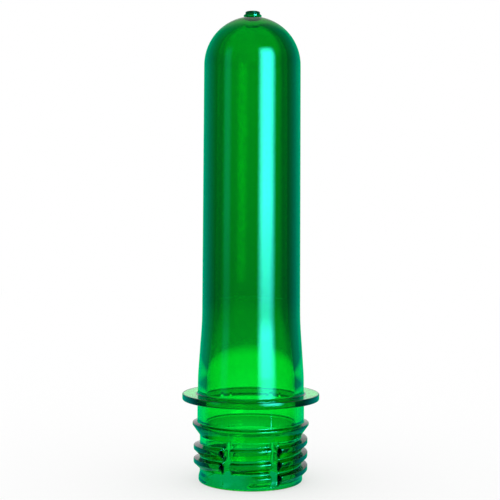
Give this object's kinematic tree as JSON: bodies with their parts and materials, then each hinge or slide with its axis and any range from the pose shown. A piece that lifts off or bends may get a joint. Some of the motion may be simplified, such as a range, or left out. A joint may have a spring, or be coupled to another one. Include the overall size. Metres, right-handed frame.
{
  "type": "pet bottle preform",
  "caption": "Tubular moulded preform with a domed closed end, gate, support ring, tamper bead and vented screw thread, blown into a bottle.",
  "frame": {"origin": "centre of the rim's face, on the axis, at the open mouth that the preform stands on", "axes": "+Z along the axis from the mouth to the closed end; -Y is the front, where the thread starts; +X to its right"},
  "size_m": [0.033, 0.033, 0.1126],
  "materials": {
    "pet": "clear green PET, glossy as moulded"
  },
  "bodies": {
    "root": {"preform": "pet"}
  },
  "joints": []
}
